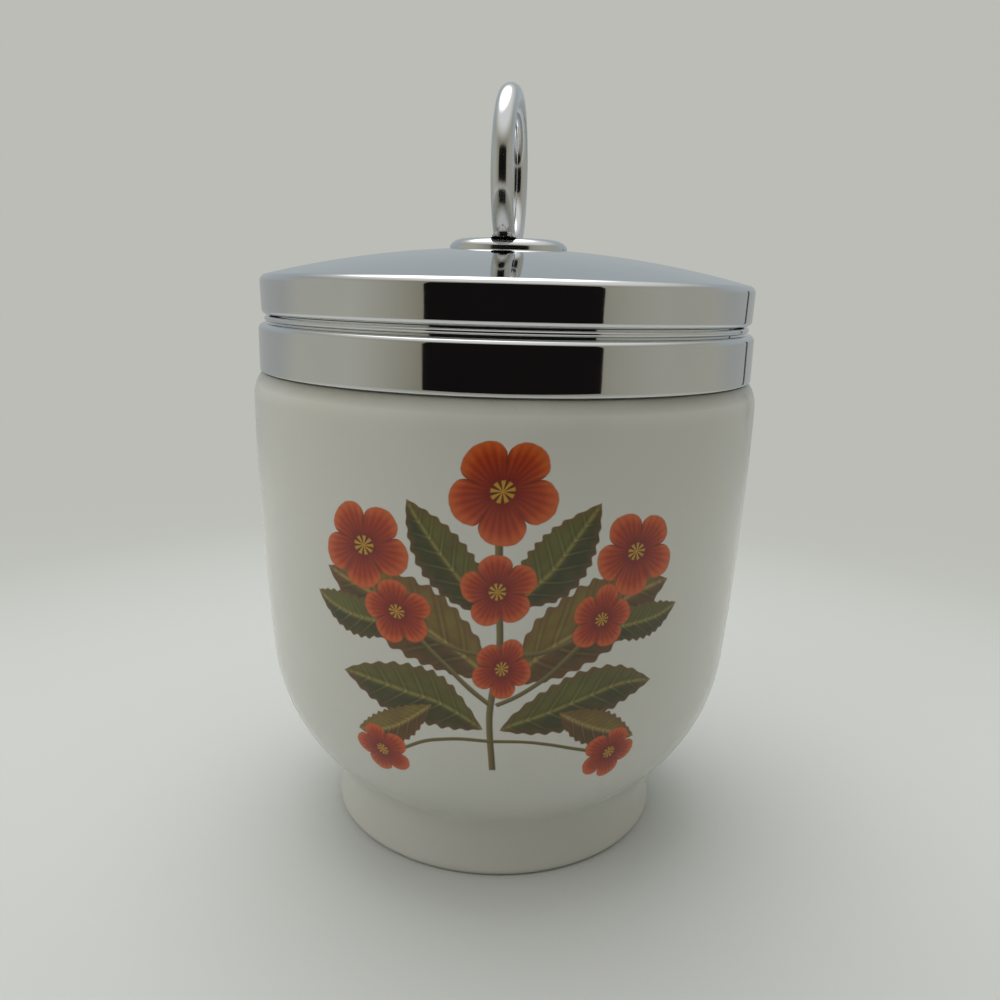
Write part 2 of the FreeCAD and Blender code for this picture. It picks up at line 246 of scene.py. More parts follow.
def cement():
    material, paint = new_material("cement")
    grit = paint.noise(0.6, 5.0)
    stain = paint.noise(6.0, 3.0)
    tone = paint.mixed(stain, CEMENT_DARK, CEMENT_LIGHT)
    surface = paint.node("BsdfPrincipled", {}, {
        "Base Color": tone, "Roughness": (0.8 + grit * 0.15).clamped(),
        "Normal": bump(paint, grit, 0.06 * MM)})
    paint.node("OutputMaterial", {}, [surface])
    return material


cement_finish = cement()
print("cement:", cement_finish.name)

# %% [markdown]
# The print on the cup is a transfer under the glaze: here a plain posy of five-petalled
# flowers on an upright stem, with oval leaves in pairs. It is drawn with formulas on the
# unrolled wall: u is the distance round the cup from the middle of the front, and v is the
# height, both in millimetres. Each motif has its own small frame, in which it is a simple
# shape. It works out how much of a point it covers and lays its colour over what is there.

# %% Frame of a motif
def local_frame(u, v, start, length, lean):
    """Along (0 at the start, 1 at the tip) and across, both as shares of the length."""
    turn = math.radians(lean)
    level, steep = math.cos(turn) / length, math.sin(turn) / length
    along = (u - start[0]) * level + (v - start[1]) * steep
    across = (v - start[1]) * level - (u - start[0]) * steep
    return along, across


# %% [markdown]
# A leaf is a hump over its midrib with a toothed edge. Its two halves differ in tone, pale
# veins sweep forward from the rib with dark valleys between them, and the edge is browned.

# %% Leaf
LEAF_SHADE, LEAF_RUST = colour(44, 46, 22), colour(112, 74, 40)
LEAF_TEETH, TEETH_HEIGHT, VEIN_PAIRS = 75.0, 0.012, 8.0


def add_leaf(paint, under, u, v, grain, start, length, lean, breadth, tones, bow):
    """An oval leaf with a pale midrib, side veins and a browned edge."""
    along, across = local_frame(u, v, start, length, lean)
    hump = along * (1.0 - along) * 4.0
    across = across - hump * bow
    aside = abs(across)
    teeth = (along * LEAF_TEETH).maths("SINE") * TEETH_HEIGHT
    inside = hump * (breadth + teeth) - aside
    cover = (inside * (length * 6.0)).clamped()
    depth = (inside / breadth).clamped()
    side = (across * (2.2 / breadth) + 0.5).clamped()
    tone = paint.mixed(side, tones[0], tones[1])
    tone = paint.mixed(((grain - 0.36) * 2.4).clamped() * 0.75, tone, tones[2])
    sweep = (along - aside * 0.9) * VEIN_PAIRS
    from_vein = abs(sweep.maths("FRACT") - 0.5)
    rib = 1.0 - (aside * length * 2.6).clamped()
    vein = 1.0 - (from_vein * (length * 0.55)).clamped()
    pale = (rib * 0.8 + vein * 0.4 * depth).clamped()
    tone = paint.mixed(pale, tone, tones[3])
    shade = 1.0 - (abs(from_vein - 0.16) * 9.0).clamped()
    tone = paint.mixed(shade * 0.35, tone, LEAF_SHADE)
    rust = (1.0 - depth * 3.2).clamped() * (0.35 + grain * 0.5)
    tone = paint.mixed(rust.clamped(), tone, LEAF_RUST)
    return paint.mixed(cover, under, tone)


# %% [markdown]
# A stem is a thin bowed line, dark on one side and straw-coloured on the other.

# %% Stem
STEM_DARK, STEM_LIGHT = colour(70, 54, 30), colour(132, 118, 66)


def add_stem(paint, under, u, v, start, length, lean, thick, bow):
    """A thin curved stem with a darker side."""
    along, across = local_frame(u, v, start, length, lean)
    hump = along * (1.0 - along) * 4.0
    off = (across - hump * bow) * length
    cover = ((thick - abs(off)) * 7.0).clamped() * (hump * 40.0 + 0.6).clamped()
    lit = (off / thick * 0.5 + 0.5).clamped()
    return paint.mixed(cover, under, paint.mixed(lit, STEM_DARK, STEM_LIGHT))


# %% [markdown]
# A flower is drawn by angle and distance from its heart. The cosine of the angle gives the
# five lobes, and the same lobes give the folds between petals. Streaks run out from the
# heart, a dark line follows the rim, and the eye is a dotted disc.

# %% Flower
PETAL_HEART, PETAL_RED, PETAL_RIM = colour(124, 28, 10), colour(190, 72, 24), colour(214, 116, 56)
PETAL_STREAK, PETAL_FOLD = colour(120, 26, 12), colour(104, 26, 14)
PETAL_LINE, EYE_GOLD, EYE_BROWN = colour(122, 40, 20), colour(196, 142, 44), colour(86, 52, 20)
HALF_PETALS, STREAKS, EYE_DOTS = 2.5, 32.0, 9.0


def add_flower(paint, under, u, v, grain, middle, size, lean):
    """Five rounded petals, shaded from a deep heart to a lighter rim, and a dotted eye."""
    right = u - middle[0]
    up = v - middle[1]
    far = (right * right + up * up) ** 0.5
    turn = up.maths("ARCTAN2", right) + math.radians(lean)
    lobe = abs((turn * HALF_PETALS).maths("COSINE"))
    rim = (lobe ** 0.55 * 0.34 + 0.66 + (grain - 0.5) * 0.12) * size
    inside = rim - far
    cover = (inside * 6.0).clamped()
    share = (far / rim).clamped()
    tone = paint.mixed((share * 1.7 - 0.45).clamped(), PETAL_HEART, PETAL_RED)
    tone = paint.mixed(((share - 0.72) * 3.0).clamped() * 0.7, tone, PETAL_RIM)
    streak = ((turn * STREAKS).maths("SINE") * 0.5 + 0.5) * (1.0 - share) * share * 3.0
    tone = paint.mixed((streak * 0.75).clamped(), tone, PETAL_STREAK)
    fold = (1.0 - lobe * 3.4).clamped() * (share * 1.6 - 0.2).clamped()
    tone = paint.mixed(fold * 0.85, tone, PETAL_FOLD)
    line = (1.0 - inside * 3.6).clamped()
    tone = paint.mixed(line * 0.6, tone, PETAL_LINE)
    eye = ((size * 0.23 - far) * 6.0).clamped()
    spots = (turn * EYE_DOTS).maths("SINE") * (far * (EYE_DOTS / size)).maths("SINE")
    centre = paint.mixed((spots * 3.0).clamped(), EYE_GOLD, EYE_BROWN)
    tone = paint.mixed(eye, tone, centre)
    return paint.mixed(cover, under, tone)


# %% [markdown]
# The spray is mirrored about its upright stem: the pairs are drawn once with the distance
# from the middle line, and a slow waver keeps the two halves from matching exactly. Leaves
# are laid down first, then stems, then flowers, as the colours overlap on a real transfer.

# %% Posy on the cup
# Leaves: start, length, lean, breadth as a share of the length, tones, bow.
# Stems: start, length, lean, half thickness, bow. Flowers: middle, radius, turn.
OLIVE = (colour(56, 58, 22), colour(98, 98, 40), colour(84, 74, 30), colour(144, 134, 66))
BROWNED = (colour(80, 64, 28), colour(122, 106, 44), colour(106, 70, 34), colour(164, 142, 76))
MAIN_STEM = ((0.0, 21.5), 34.0, 90.0, 0.5, 0.01)
LEAVES = [
    ((1.0, 27.5), 20.0, 14.0, 0.19, OLIVE, 0.07),
    ((0.8, 34.0), 24.0, 29.0, 0.20, BROWNED, 0.06),
    ((0.5, 42.5), 17.0, 52.0, 0.21, OLIVE, -0.05),
    ((11.0, 40.5), 13.0, 8.0, 0.19, OLIVE, -0.10),
    ((8.0, 30.0), 12.0, -28.0, 0.20, BROWNED, -0.06),
]
STEMS = [
    ((0.4, 31.0), 24.0, 47.0, 0.38, -0.07),
    ((0.3, 37.0), 13.0, 21.0, 0.32, -0.08),
    ((0.2, 26.0), 15.5, -16.0, 0.32, 0.08),
]
SIDE_FLOWERS = [
    ((16.4, 49.2), 5.6, 20.0),
    ((12.3, 41.6), 4.1, 65.0),
    ((15.2, 22.4), 3.9, 0.0),
]
MIDDLE_FLOWERS = [
    ((0.3, 57.2), 6.3, 18.0),
    ((-0.4, 45.4), 4.7, 50.0),
    ((0.3, 35.6), 3.8, 5.0),
]


def posy(paint, ground, u, v):
    """The whole spray on the ground colour."""
    grain = paint.noise(2.6, 4.0)
    u = u + (paint.noise(17.0, 1.0) - 0.5) * 3.2
    pair = abs(u)
    v = v + (paint.noise(11.0, 1.0) - 0.5) * 2.4
    picture = ground
    for leaf in LEAVES:
        picture = add_leaf(paint, picture, pair, v, grain, *leaf)
    picture = add_stem(paint, picture, u, v, *MAIN_STEM)
    for stem in STEMS:
        picture = add_stem(paint, picture, pair, v, *stem)
    for flower in SIDE_FLOWERS:
        picture = add_flower(paint, picture, pair, v, grain, *flower)
    for flower in MIDDLE_FLOWERS:
        picture = add_flower(paint, picture, u, v, grain, *flower)
    return picture


print("motifs:", len(LEAVES), "leaves,", len(STEMS) + 1, "stems,",
      len(SIDE_FLOWERS) + len(MIDDLE_FLOWERS), "flowers before mirroring")


# %% [markdown]
# Glazed porcelain is a warm white body under a clear, glassy skin. The glaze pools very
# slightly, so its surface carries a long soft ripple, and the foot stands dry where the
# glaze was wiped off before firing. A soft grey band of painted shade lies along the metal,
# where the collar's shadow falls.

# %% Glazed porcelain
PRINT_RADIUS, PRINT_INSIDE, COLLAR_EDGE = 35.3, 28.0, 67.4
BODY_DARK, BODY_LIGHT = colour(206, 206, 197), colour(213, 212, 204)
# The first colour is painted shade for the band under the collar; the dry clay is the bare foot.
COLLAR_SHADE_GREY, DRY_CLAY, GLAZE_IOR = colour(112, 108, 92), colour(196, 192, 180), 1.52


def glazed_porcelain():
    material, paint = new_material("glazed_porcelain")
    across, along, up = paint.place()
    u = across.maths("ARCTAN2", -along) * PRINT_RADIUS
    body = paint.mixed(paint.noise(40.0, 2.0), BODY_DARK, BODY_LIGHT)
    picture = posy(paint, body, u, up)
    from_axis = (across * across + along * along) ** 0.5
    outside = ((from_axis - PRINT_INSIDE) * 4.0).clamped()
    front = ((-along) * 0.4).clamped()
    base = paint.mixed(outside * front, body, picture)
    # Painted shade: the glaze is darkened in a soft band just below the collar, for its shadow.
    collar_shade = (1.0 - (COLLAR_EDGE - up) * 0.55).clamped() * (0.75 + paint.noise(5.0, 3.0) * 0.5)
    base = paint.mixed((collar_shade * outside).clamped() * 0.8, base, COLLAR_SHADE_GREY)
    dry = (1.0 - (up - 0.1) * 4.0).clamped()
    base = paint.mixed(dry, base, DRY_CLAY)
    ripple = paint.noise(16.0, 1.0) + paint.noise(1.4, 1.0) * 0.02
    rough = (0.13 + paint.noise(7.0, 2.0) * 0.05 + dry * 0.55).clamped()
    surface = paint.node("BsdfPrincipled", {}, {
        "Base Color": base, "Roughness": rough, "IOR": GLAZE_IOR,
        "Normal": bump(paint, ripple, 0.04 * MM)})
    paint.node("OutputMaterial", {}, [surface])
    return material


porcelain = glazed_porcelain()
print("nodes in the glaze:", len(porcelain.node_tree.nodes))

# %% [markdown]
# Pots are thrown and metal caps are spun, so the main pieces are raised the same way: a
# circle is extruded upwards ring by ring, and each new ring is scaled to the outline. The
# outlines are made of straight runs and arcs, in millimetres, from the sizes that the solid
# model has. Long runs get rings of their own, so that reflections stay even.

# %% Outlines
ROUND = 192
SMOOTH_ANGLE = math.radians(32.0)
WELD = 0.001 * MM


def arc(centre, radius, first, last, steps):
    """Points on an arc; the angles are in degrees, from outwards towards up."""
    turns = [math.radians(first + (last - first) * step / steps) for step in range(steps + 1)]
    return [(centre[0] + radius * math.cos(turn), centre[1] + radius * math.sin(turn))
            for turn in turns]


def run(first, last, steps):
    """Evenly spaced points from the first to the last, without the first."""
    return [(first[0] + (last[0] - first[0]) * step / steps,
             first[1] + (last[1] - first[1]) * step / steps) for step in range(1, steps + 1)]


# %% [markdown]
# Every new piece is finished in the same way, whatever its shape: it gets its name, its
# smoothing and its material, the solid that it stands for is hidden, and it rides on its
# body.

# %% Finishing a piece
def finish_shape(name, node, body, material):
    """Names a finished piece, smooths it, hides the solid it stands for, and ties it to its body.
    """
    piece = bpy.context.object
    piece.name = name
    piece.data.name = name
    bpy.ops.object.shade_smooth_by_angle(angle=SMOOTH_ANGLE)
    piece.data.materials.clear()
    piece.data.materials.append(material)
    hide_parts(node)
    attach(piece, body)
    print(name, len(piece.data.polygons), "faces")


# %% [markdown]
# Raising a turned shape: a closed outline, such as a ring of sheet metal, meets itself at its
# start, where its first and last rings are welded. An open one begins and ends close to the
# axis, and both small holes there are filled.

# %% Raising a turned shape
def turn_shape(outline, closed, sides=ROUND):
    """Raises a turned shape ring by ring. A closed outline meets itself at its start."""
    bpy.ops.object.select_all(action="DESELECT")
    radius, height = outline[0]
    bpy.ops.mesh.primitive_circle_add(
        vertices=sides, radius=radius * MM, location=(0, 0, height * MM))
    bpy.ops.object.transform_apply(location=True, rotation=True, scale=True)
    bpy.ops.object.mode_set(mode="EDIT")
    bpy.ops.mesh.select_mode(type="EDGE")
    bpy.ops.mesh.select_all(action="SELECT")
    rings = outline[1:] + outline[:1] if closed else outline[1:]
    for wider, higher in rings:
        bpy.ops.mesh.extrude_region_move(
            TRANSFORM_OT_translate={"value": (0, 0, (higher - height) * MM)})
        share = wider / radius
        bpy.ops.transform.resize(value=(share, share, 1), center_override=(0, 0, higher * MM))
        radius, height = wider, higher
    bpy.ops.mesh.select_all(action="SELECT")
    bpy.ops.mesh.remove_doubles(threshold=WELD)
    bpy.ops.mesh.select_all(action="DESELECT")
    if not closed:
        bpy.ops.mesh.select_mode(type="EDGE")
        bpy.ops.mesh.select_non_manifold()
        bpy.ops.mesh.edge_face_add()
    bpy.ops.mesh.select_mode(type="FACE")
    bpy.ops.mesh.select_all(action="SELECT")
    bpy.ops.mesh.normals_make_consistent(inside=False)
    bpy.ops.object.mode_set(mode="OBJECT")
    return bpy.context.object


# %% [markdown]
# The cup is one piece of porcelain. Its side is a very long arc that leans in towards the
# foot, the belly is a tighter arc, and a small hollow runs into the foot ring, which flares
# a little to where it stands. Inside, the same arcs run one wall closer to the middle.

# %% Sizes of the cup
BODY_RADIUS, WIDEST, SIDE, SIDE_LEAN = 35.9, 64.0, 460.0, 4.6
BELLY, BELLY_END, WALL = 27.0, 46.0, 3.6
SHOULDER, LEDGE = 5.2, 67.3
WAIST_RADIUS, WAIST_HEIGHT = 24.5, 5.68
FOOT_RADIUS, FOOT_EDGE, FOOT_WIDTH, RECESS, FLOOR = 25.15, 0.9, 3.6, 4.4, 8.6
SEAT_RADIUS, SEAT_TOP, RIM_RADIUS, RIM_HEIGHT = 33.8, 72.6, 31.45, 80.4
RIM_ROUND, RIM_WALL, MOUTH_BOTTOM = 1.2, 3.0, 72.0
RECESS_CORNER, RECESS_LEAN, LEDGE_STEP, INNER_LEDGE = 0.9, 0.7, 0.15, 0.25
FLOOR_ROUND, FLOOR_CUT = 1.5, 3.0
POLE = 0.15

side_centre = (BODY_RADIUS - SIDE, WIDEST)
lean = math.radians(SIDE_LEAN)
belly_centre = (side_centre[0] + (SIDE - BELLY) * math.cos(lean),
                WIDEST - (SIDE - BELLY) * math.sin(lean))
belly_end = arc(belly_centre, BELLY, -BELLY_END, -BELLY_END, 1)[0]


def hollow_radius(across, up):
    """The radius of an arc that leaves one end upright and reaches across and up."""
    return (across ** 2 + up ** 2) / (2 * across)


waist_in = belly_end[0] - WAIST_RADIUS
waist_up = belly_end[1] - WAIST_HEIGHT
waist_hollow = hollow_radius(waist_in, waist_up)
foot_out = FOOT_RADIUS - WAIST_RADIUS
foot_down = WAIST_HEIGHT - FOOT_EDGE
foot_hollow = hollow_radius(foot_out, foot_down)
foot_turn = math.degrees(math.asin(foot_down / foot_hollow))
waist_turn = math.degrees(math.asin(waist_up / waist_hollow))
shoulder_turn = math.degrees(math.asin((LEDGE - WIDEST) / SHOULDER))
foot_inside = FOOT_RADIUS - FOOT_WIDTH
mouth = RIM_RADIUS - RIM_WALL
inner_belly = BELLY - WALL
floor_turn = math.degrees(math.asin((belly_centre[1] - FLOOR) / inner_belly))
inner_foot = belly_centre[0] + inner_belly * math.cos(math.radians(floor_turn))

print("belly ends at", [round(value, 2) for value in belly_end], "mm")

# %% [markdown]
# The outline starts under the foot at the axis and runs round the outside to the ledge that
# the collar stands on: the roof of the recess, the foot ring, the hollow of the waist, the
# belly, the side and the shoulder.

# %% Outside of the cup
recess_edge = foot_inside - RECESS_CORNER - RECESS_LEAN
cup_outline = [(POLE, RECESS), *run((POLE, RECESS), (recess_edge, RECESS), 6)]
cup_outline += arc((recess_edge, RECESS - RECESS_CORNER), RECESS_CORNER, 90, 5, 5)[1:]
cup_outline += run(cup_outline[-1], (foot_inside, FOOT_EDGE), 2)
cup_outline += arc((foot_inside + FOOT_EDGE, FOOT_EDGE), FOOT_EDGE, 180, 270, 6)[1:]
cup_outline += arc((FOOT_RADIUS - FOOT_EDGE, FOOT_EDGE), FOOT_EDGE, 270, 360, 7)
cup_outline += arc((WAIST_RADIUS + foot_hollow, WAIST_HEIGHT), foot_hollow,
                   180 + foot_turn, 180, 8)[1:]
cup_outline += arc((WAIST_RADIUS + waist_hollow, WAIST_HEIGHT), waist_hollow,
                   180, 180 - waist_turn, 8)[1:]
cup_outline += arc(belly_centre, BELLY, -BELLY_END, -SIDE_LEAN, 20)[1:]
cup_outline += arc(side_centre, SIDE, -SIDE_LEAN, 0, 20)[1:]
cup_outline += arc((BODY_RADIUS - SHOULDER, WIDEST), SHOULDER, 0, shoulder_turn, 10)[1:]
print("rings outside:", len(cup_outline))

# %% [markdown]
# From the ledge it steps in to the seat under the collar, goes over the round rim and comes
# down the inside to the floor.

# %% Rim and inside of the cup
cup_outline += [(cup_outline[-1][0] - LEDGE_STEP, LEDGE), (SEAT_RADIUS, LEDGE),
                (SEAT_RADIUS, SEAT_TOP), (RIM_RADIUS, SEAT_TOP),
                (RIM_RADIUS, RIM_HEIGHT - RIM_ROUND - 0.6)]
cup_outline += arc((RIM_RADIUS - RIM_ROUND, RIM_HEIGHT - RIM_ROUND), RIM_ROUND, 0, 90, 8)
cup_outline += arc((mouth + RIM_ROUND, RIM_HEIGHT - RIM_ROUND), RIM_ROUND, 90, 180, 8)
cup_outline += run(cup_outline[-1], (mouth, MOUTH_BOTTOM + 1.5), 3)
cup_outline += [(mouth + INNER_LEDGE, MOUTH_BOTTOM - 0.2)]
cup_outline += run(cup_outline[-1], (BODY_RADIUS - WALL - INNER_LEDGE, WIDEST + 0.6), 4)
cup_outline += arc(side_centre, SIDE - WALL, -0.2, -SIDE_LEAN, 14)
cup_outline += arc(belly_centre, inner_belly, -SIDE_LEAN, FLOOR_CUT - floor_turn, 16)[1:]
cup_outline += run((inner_foot - FLOOR_ROUND, FLOOR), (POLE, FLOOR), 6)

turn_shape(cup_outline, closed=False)
finish_shape("porcelain_cup_glazed", "porcelain_cup", "cup", porcelain)

# %% [markdown]
# The collar and the lid carry the two halves of a rolled screw thread. A ridge is a small
# section carried round the axis as it climbs, which is what the Screw modifier does. It is
# made as its own mesh, closed at both ends, and joined to the piece that it is rolled into.

# %% Helper for threads
PITCH, THREAD_BASE, THREAD_CREST = 2.5, 1.0, 0.4


def thread_ridge(root, crest, start, rise):
    """A ridge that climbs by the pitch in each turn, right-handed, from the +X side."""
    middle = ((root + crest) / 2 * MM, 0, start * MM)
    bpy.ops.object.select_all(action="DESELECT")
    bpy.ops.mesh.primitive_plane_add(size=MM, location=middle, rotation=(math.pi / 2, 0, 0))
    ridge = bpy.context.object
    bpy.ops.object.transform_apply(location=True, rotation=True, scale=True)
    bpy.ops.object.mode_set(mode="EDIT")
    bpy.ops.mesh.select_mode(type="EDGE")
    bpy.ops.transform.resize(value=(abs(crest - root), 1, THREAD_BASE), center_override=middle)
    bpy.ops.mesh.select_all(action="DESELECT")
    bpy.ops.object.mode_set(mode="OBJECT")
    for edge in ridge.data.edges:
        across = [ridge.data.vertices[end].co.x for end in edge.vertices]
        edge.select = all((x > middle[0]) == (crest > root) for x in across)
    bpy.ops.object.mode_set(mode="EDIT")
    narrow = THREAD_CREST / THREAD_BASE
    bpy.ops.transform.resize(value=(1, 1, narrow), center_override=middle)
    bpy.ops.mesh.select_mode(type="FACE")
    bpy.ops.mesh.select_all(action="SELECT")
    bpy.ops.mesh.delete(type="ONLY_FACE")
    bpy.ops.object.mode_set(mode="OBJECT")
    climb = ridge.modifiers.new("climb", "SCREW")
    climb.axis = "Z"
    climb.angle = 2 * math.pi * rise / PITCH
    climb.screw_offset = rise * MM
    climb.steps = int(ROUND * rise / PITCH)
    climb.render_steps = climb.steps
    climb.use_merge_vertices = False
    bpy.ops.object.modifier_apply(modifier="climb")
    bpy.ops.object.mode_set(mode="EDIT")
    bpy.ops.mesh.select_mode(type="EDGE")
    bpy.ops.mesh.select_all(action="SELECT")
    bpy.ops.mesh.fill_holes(sides=4)
    bpy.ops.mesh.normals_make_consistent(inside=False)
    bpy.ops.object.mode_set(mode="OBJECT")
    quarter = [spot.co.z / MM for spot in ridge.data.vertices
               if abs(spot.co.x) < MM and spot.co.y > 0]
    print("ridge, a quarter turn on:", round(min(quarter) - start, 2), "mm above its start")
    return ridge


def join_to(piece, other):
    """Joins another mesh to a piece."""
    bpy.ops.object.select_all(action="DESELECT")
    other.select_set(True)
    piece.select_set(True)
    bpy.context.view_layer.objects.active = piece
    bpy.ops.object.join()


# %% [markdown]
# The collar is sheet metal: a plain upright band with a rounded top edge, a thin stop bead
# that shows as a bright line in the groove below the lid, and the neck with its thread.

# %% Outline of the collar
COLLAR_RADIUS, COLLAR_BOTTOM, BAND_TOP, BAND_ROUND = 35.0, 67.5, 73.8, 0.85
NECK_RADIUS, NECK_TOP, SHEET = 32.65, 79.4, 0.6
BEAD_HEIGHT, BEAD_HALF, BEAD_RADIUS, BEAD_REACH = 74.4, 0.35, 0.4, 1.34
COLLAR_RIDGE, COLLAR_RISE, THREAD_LIFT, THREAD_ROOT = 0.75, 3.5, 1.5, 0.1
EDGE = 0.12

band_inside = COLLAR_RADIUS - SHEET
collar_outline = [(band_inside, COLLAR_BOTTOM + EDGE)]
collar_outline += arc((COLLAR_RADIUS - EDGE, COLLAR_BOTTOM + EDGE), EDGE, 270, 360, 3)
collar_outline += run((COLLAR_RADIUS, COLLAR_BOTTOM + EDGE),
                      (COLLAR_RADIUS, BAND_TOP - BAND_ROUND), 9)
collar_outline += arc((COLLAR_RADIUS - BAND_ROUND, BAND_TOP - BAND_ROUND),
                      BAND_ROUND, 0, 90, 12)[1:]
bead_turn = math.degrees(math.asin(BEAD_HALF / BEAD_RADIUS))
bead_middle = NECK_RADIUS + BEAD_REACH - BEAD_RADIUS * math.cos(math.radians(bead_turn))
collar_outline += [(NECK_RADIUS, BAND_TOP), (NECK_RADIUS, BEAD_HEIGHT - BEAD_HALF)]
collar_outline += arc((bead_middle, BEAD_HEIGHT), BEAD_RADIUS, -bead_turn, bead_turn, 8)
collar_outline += [(NECK_RADIUS, BEAD_HEIGHT + BEAD_HALF)]
collar_outline += run(collar_outline[-1], (NECK_RADIUS, NECK_TOP - EDGE), 6)
neck_inside = NECK_RADIUS - SHEET
collar_outline += [(NECK_RADIUS - EDGE, NECK_TOP), (neck_inside + EDGE, NECK_TOP),
                   (neck_inside, NECK_TOP - EDGE), (neck_inside, BAND_TOP - SHEET),
                   (band_inside, BAND_TOP - SHEET)]
print("rings of the collar:", len(collar_outline))

# %% Metal collar
collar = turn_shape(collar_outline, closed=True)
collar_ridge = thread_ridge(NECK_RADIUS - THREAD_ROOT, NECK_RADIUS + COLLAR_RIDGE,
                            BAND_TOP + THREAD_LIFT, COLLAR_RISE)
join_to(collar, collar_ridge)
finish_shape("collar_plated", "threaded_collar", "cup", collar_plate)

# %% [markdown]
# The lid is pressed from one disc: a shallow dome, a rounded corner, and a skirt that leans
# in slightly and curls under at its lower edge. The corner carries the long white highlight
# of the photograph, so it has many rings.

# %% Sizes of the lid
LID_RADIUS, LID_APEX, DOME_RISE, LID_CORNER = 34.65, 84.65, 4.596, 1.0
LID_BOTTOM, TAPER, CURL, LIP_WIDTH, LIP_HEIGHT, BORE = 74.93, 0.1, 0.75, 0.15, 0.5, 1.55
LID_RIDGE, LID_RISE, INNER_CORNER, LIP_EDGE = 0.9, 2.1, 0.8, 0.1

DOME = (LID_RADIUS ** 2 + DOME_RISE ** 2) / (2 * DOME_RISE)
dome_centre = LID_APEX - DOME
corner_radius = LID_RADIUS - LID_CORNER
corner_height = dome_centre + math.sqrt((DOME - LID_CORNER) ** 2 - corner_radius ** 2)
corner_turn = math.degrees(math.atan2(corner_height - dome_centre, corner_radius))
skirt_low = LID_RADIUS - TAPER
lid_inside = skirt_low - SHEET
curl_radius = skirt_low - CURL
inner_dome = DOME - SHEET
inner_turn = math.degrees(math.acos((lid_inside - INNER_CORNER) / (inner_dome - INNER_CORNER)))
inner_height = dome_centre + (inner_dome - INNER_CORNER) * math.sin(math.radians(inner_turn))


def bore_turn(radius):
    """Where an arc about the dome's centre meets the bore."""
    return math.degrees(math.acos(BORE / radius))


print("dome radius", round(DOME, 1), "mm")

# %% [markdown]
# The outline runs from the bore outwards under the dome, down inside the skirt, round the
# curl with its small upright lip, up the outside, and back over the corner and the dome.

# %% Lid
lid_outline = arc((0, dome_centre), inner_dome, bore_turn(inner_dome), inner_turn, 24)
lid_outline += arc((lid_inside - INNER_CORNER, inner_height), INNER_CORNER, inner_turn, 0, 7)[1:]
lid_outline += run(lid_outline[-1], (lid_inside, LID_BOTTOM + CURL + 0.2), 5)
lip_radius = curl_radius - LIP_WIDTH
lid_outline += [(lip_radius, LID_BOTTOM + LIP_HEIGHT), (lip_radius, LID_BOTTOM + LIP_EDGE),
                (lip_radius + LIP_EDGE, LID_BOTTOM)]
lid_outline += arc((curl_radius, LID_BOTTOM + CURL), CURL, -90, 4, 12)
lid_outline += run(lid_outline[-1], (LID_RADIUS, corner_height), 8)
lid_outline += arc((corner_radius, corner_height), LID_CORNER, 0, corner_turn, 18)[1:]
lid_outline += arc((0, dome_centre), DOME, corner_turn, bore_turn(DOME), 40)[1:]

lid = turn_shape(lid_outline, closed=True)
lid_thread = thread_ridge(lid_inside + THREAD_ROOT, lid_inside - LID_RIDGE,
                          BAND_TOP + THREAD_LIFT + PITCH / 2, LID_RISE)
join_to(lid, lid_thread)
finish_shape("lid_plated", "lid_cap", "lid", lid_plate)

# %% [markdown]
# Between the ring and the dome sits a thin flange, which is flat on top and rounds over to a
# fine edge. Its underside follows the dome, so no light shows below it.

# %% Ring flange
FLANGE_RADIUS, FLANGE_THICK, FLANGE_EDGE, FLANGE_ROUND = 8.4, 1.2, 0.2, 2.0
FLANGE_STEPS = 16

flange_top = LID_APEX + FLANGE_THICK
rim_turn = math.degrees(math.acos(FLANGE_RADIUS / DOME))
flange_outline = arc((0, dome_centre), DOME, bore_turn(DOME), rim_turn, 6)
seat_edge = flange_outline[-1][1]
edge_top = seat_edge + FLANGE_EDGE
flange_drop = flange_top - edge_top
for step in range(FLANGE_STEPS + 1):
    turn = math.pi / 2 * step / FLANGE_STEPS
    flange_outline.append((FLANGE_RADIUS - FLANGE_ROUND * (1 - math.cos(turn)),
                           edge_top + flange_drop * math.sin(turn)))
flange_outline += run(flange_outline[-1], (BORE, flange_top), 6)

turn_shape(flange_outline, closed=True, sides=128)
finish_shape("ring_flange_plated", "ring_flange", "lid", ring_plate)

# %% [markdown]
# The lifting ring starts as a torus, stood on edge and turned a few degrees, as the thread
# leaves it in the photograph. It is cut off level just above the flange, and the cut is
# drawn down and out into a small foot.

# %% Loop of the lifting ring
RING_RADIUS, WIRE_RADIUS, RING_HEIGHT, RING_TURN = 10.1, 1.5, 9.0, 6.3
FOOT_RISE, FOOT_SPREAD, FOOT_RINGS = 0.5, 1.07, 4

